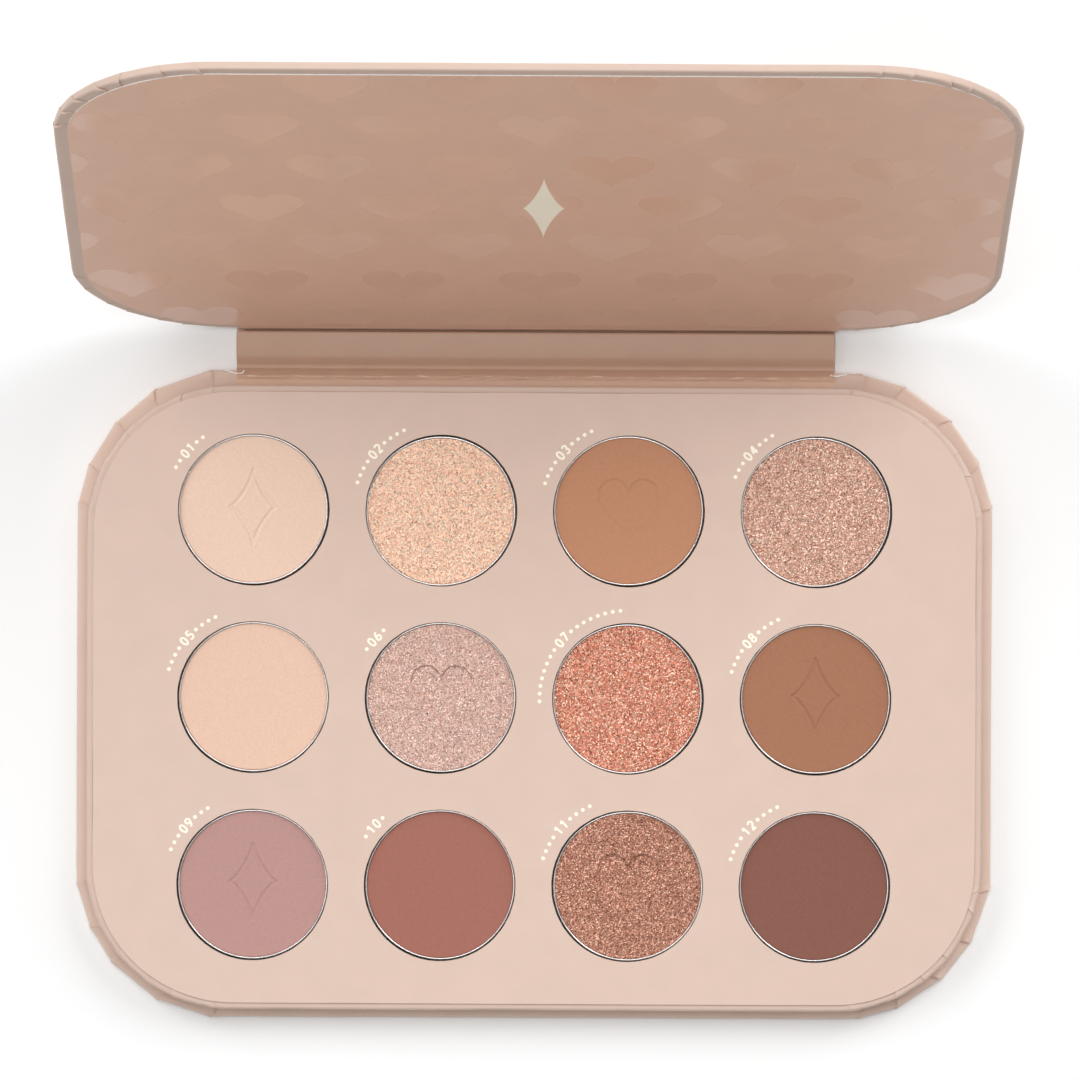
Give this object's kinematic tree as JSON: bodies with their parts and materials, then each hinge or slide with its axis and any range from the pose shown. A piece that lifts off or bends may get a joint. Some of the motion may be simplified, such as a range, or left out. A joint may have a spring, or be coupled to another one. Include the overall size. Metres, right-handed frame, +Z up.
{
  "type": "eyeshadow palette",
  "caption": "Open book-style card palette with a hinged lid, a folding spine and a wrapped tray that holds round metal pans of pressed eyeshadow powder.",
  "frame": {"origin": "centre of the underside of the base, on the table", "axes": "+X to the right, +Y from the front edge to the hinge, +Z up from the table"},
  "size_m": [0.1594, 0.1618, 0.1062],
  "materials": {
    "greyboard": "matte greyboard",
    "wrap_paper": "soft-touch matte printed paper",
    "lining_paper": "matte printed paper with a spot-gloss heart pattern",
    "tray_card": "matte card",
    "top_sheet_paper": "soft-touch matte printed paper",
    "magnet": "nickel-plated magnet",
    "adhesive": "soft double-sided adhesive foam",
    "pan_metal": "bright drawn aluminium",
    "powder_01": "pressed matte powder with a fine woven press texture, pale cream",
    "powder_02": "pressed shimmer powder, peach gold",
    "powder_03": "pressed matte powder with an embossed heart, mocha",
    "powder_04": "pressed shimmer powder, rose taupe",
    "powder_05": "pressed matte powder, pale peach",
    "powder_06": "pressed shimmer powder with an embossed heart, mauve pink",
    "powder_07": "pressed shimmer powder with coarse glitter, coral copper",
    "powder_08": "pressed matte powder, warm brown",
    "powder_09": "pressed matte powder, dusty mauve",
    "powder_10": "pressed matte powder, brick rose",
    "powder_11": "pressed shimmer powder with an embossed heart, bronze",
    "powder_12": "pressed matte powder, chocolate"
  },
  "bodies": {
    "base": {"bottom_board": "greyboard", "bottom_wrap": "wrap_paper", "bottom_lining": "lining_paper", "tray_block": "tray_card", "tray_wrap": "wrap_paper", "tray_top_sheet": "top_sheet_paper", "tray_magnets": "magnet", "pan_adhesive_discs": "adhesive", "pan_01": "pan_metal", "pan_02": "pan_metal", "pan_03": "pan_metal", "pan_04": "pan_metal", "pan_05": "pan_metal", "pan_06": "pan_metal", "pan_07": "pan_metal", "pan_08": "pan_metal", "pan_09": "pan_metal", "pan_10": "pan_metal", "pan_11": "pan_metal", "pan_12": "pan_metal", "powder_01": "powder_01", "powder_02": "powder_02", "powder_03": "powder_03", "powder_04": "powder_04", "powder_05": "powder_05", "powder_06": "powder_06", "powder_07": "powder_07", "powder_08": "powder_08", "powder_09": "powder_09", "powder_10": "powder_10", "powder_11": "powder_11", "powder_12": "powder_12"},
    "spine": {"spine_board": "greyboard", "spine_wrap": "wrap_paper", "spine_lining": "lining_paper"},
    "lid": {"lid_board": "greyboard", "lid_wrap": "wrap_paper", "lid_lining": "lining_paper", "lid_magnets": "magnet"}
  },
  "joints": [
    {"name": "spine_fold", "type": "hinge", "parent": "base", "child": "spine", "pos_m": [0, 0.05675, 0.00015], "axis": [-1, 0, 0], "range_deg": [-90, 0]},
    {"name": "lid_fold", "type": "hinge", "parent": "spine", "child": "lid", "pos_m": [0, 0.06485, 0.00015], "axis": [-1, 0, 0], "range_deg": [-21, 69]}
  ]
}
